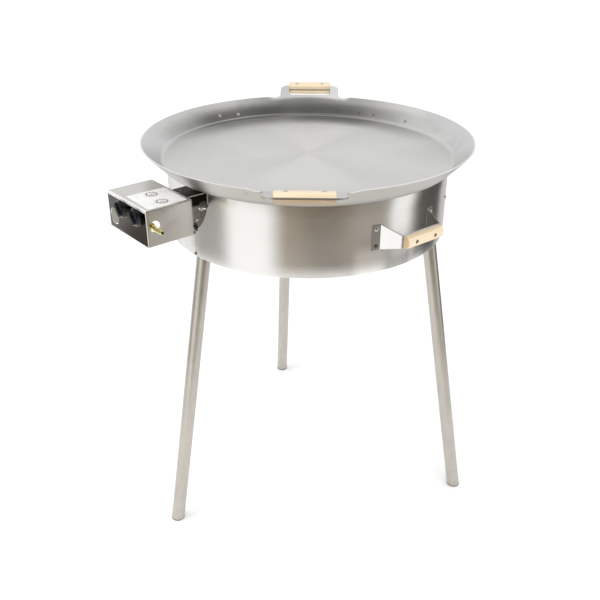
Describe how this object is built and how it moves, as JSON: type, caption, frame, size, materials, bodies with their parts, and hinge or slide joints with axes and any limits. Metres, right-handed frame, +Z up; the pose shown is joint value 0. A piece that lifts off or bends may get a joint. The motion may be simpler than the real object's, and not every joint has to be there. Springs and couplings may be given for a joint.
{
  "type": "propane burner stand",
  "caption": "Round steel griddle pan with wooden grips on a drum-shaped gas ring burner with carrying handles, a side control box with knobs, a brass hose nozzle and splayed tube legs.",
  "frame": {"origin": "on the floor, in the middle of the object's outline seen from above; the drum axis stands 52 mm behind it, at y = +0.05225", "axes": "+Z up, -Y towards the control box, +X and -X towards the drum's carrying handles"},
  "size_m": [0.7318, 0.8246, 0.8881],
  "materials": {
    "pan_steel": "satin rolled steel",
    "drum_steel": "brushed stainless sheet",
    "bright_steel": "bright stainless sheet",
    "box_steel": "bright stainless sheet",
    "leg_steel": "matt zinc-plated tube",
    "dark_steel": "plain steel",
    "burner_steel": "heat-darkened steel",
    "fastener": "plated steel",
    "wood": "oiled pale pine",
    "brass": "polished brass",
    "knob_black": "glossy black",
    "foot_cap": "dull grey-brown plastic"
  },
  "bodies": {
    "stand": {"drum_shell": "drum_steel", "seam_rivet_1": "fastener", "seam_rivet_2": "fastener", "seam_rivet_3": "fastener", "handle_bracket_right": "bright_steel", "handle_bracket_left": "bright_steel", "handle_grip_right": "wood", "handle_grip_left": "wood", "grip_screw_right_a": "dark_steel", "grip_screw_right_b": "dark_steel", "grip_screw_left_a": "dark_steel", "grip_screw_left_b": "dark_steel", "bracket_screw_right_a1": "fastener", "bracket_screw_right_a2": "fastener", "bracket_screw_right_b1": "fastener", "bracket_screw_right_b2": "fastener", "bracket_screw_left_a1": "fastener", "bracket_screw_left_a2": "fastener", "bracket_screw_left_b1": "fastener", "bracket_screw_left_b2": "fastener", "leg_tube_front": "leg_steel", "leg_foot_front": "foot_cap", "leg_socket_front": "dark_steel", "leg_bolt_front": "fastener", "leg_tube_right": "leg_steel", "leg_foot_right": "foot_cap", "leg_socket_right": "dark_steel", "leg_bolt_right": "fastener", "leg_tube_left": "leg_steel", "leg_foot_left": "foot_cap", "leg_socket_left": "dark_steel", "leg_bolt_left": "fastener", "mixer_tube_inner": "burner_steel", "mixer_tube_outer": "burner_steel", "burner_ring_inner": "burner_steel", "burner_ring_outer": "burner_steel", "burner_carrier": "burner_steel", "control_box": "box_steel", "control_channel": "bright_steel", "gas_rail": "brass", "hose_barb": "brass", "gas_valve_inner": "brass", "gas_valve_outer": "brass", "bridge_rivet": "fastener"},
    "pan": {"pan_dish": "pan_steel", "pan_grip_front_upper": "wood", "pan_grip_front_lower": "wood", "pan_grip_rear_upper": "wood", "pan_grip_rear_lower": "wood", "pan_rivet_front_a": "fastener", "pan_rivet_front_b": "fastener", "pan_rivet_rear_a": "fastener", "pan_rivet_rear_b": "fastener"},
    "seat_inner": {"spring_seat_inner": "fastener"},
    "seat_outer": {"spring_seat_outer": "fastener"},
    "dial_inner": {"valve_stem_inner": "fastener", "knob_inner": "knob_black"},
    "dial_outer": {"valve_stem_outer": "fastener", "knob_outer": "knob_black"},
    "thumb_screw": {"thumb_screw": "knob_black"}
  },
  "joints": [
    {"name": "pan_lift", "type": "slide", "parent": "stand", "child": "pan", "axis": [0, 0, 1], "range_m": [0, 0.2]},
    {"name": "knob_push_inner", "type": "slide", "parent": "stand", "child": "seat_inner", "axis": [0, 1, 0], "range_m": [0, 0.004], "stiffness_N_per_m": 500, "springref_m": -0.002},
    {"name": "knob_turn_inner", "type": "hinge", "parent": "seat_inner", "child": "dial_inner", "pos_m": [-0.012, -0.39975, 0.8035], "axis": [0, -1, 0], "range_deg": [0, 210]},
    {"name": "knob_push_outer", "type": "slide", "parent": "stand", "child": "seat_outer", "axis": [0, 1, 0], "range_m": [0, 0.004], "stiffness_N_per_m": 500, "springref_m": -0.002},
    {"name": "knob_turn_outer", "type": "hinge", "parent": "seat_outer", "child": "dial_outer", "pos_m": [0.042, -0.39975, 0.8035], "axis": [0, -1, 0], "range_deg": [0, 210]},
    {"name": "thumb_screw_turn", "type": "hinge", "parent": "stand", "child": "thumb_screw", "pos_m": [0.0583, -0.28575, 0.76], "axis": [1, 0, 0], "continuous": true}
  ]
}
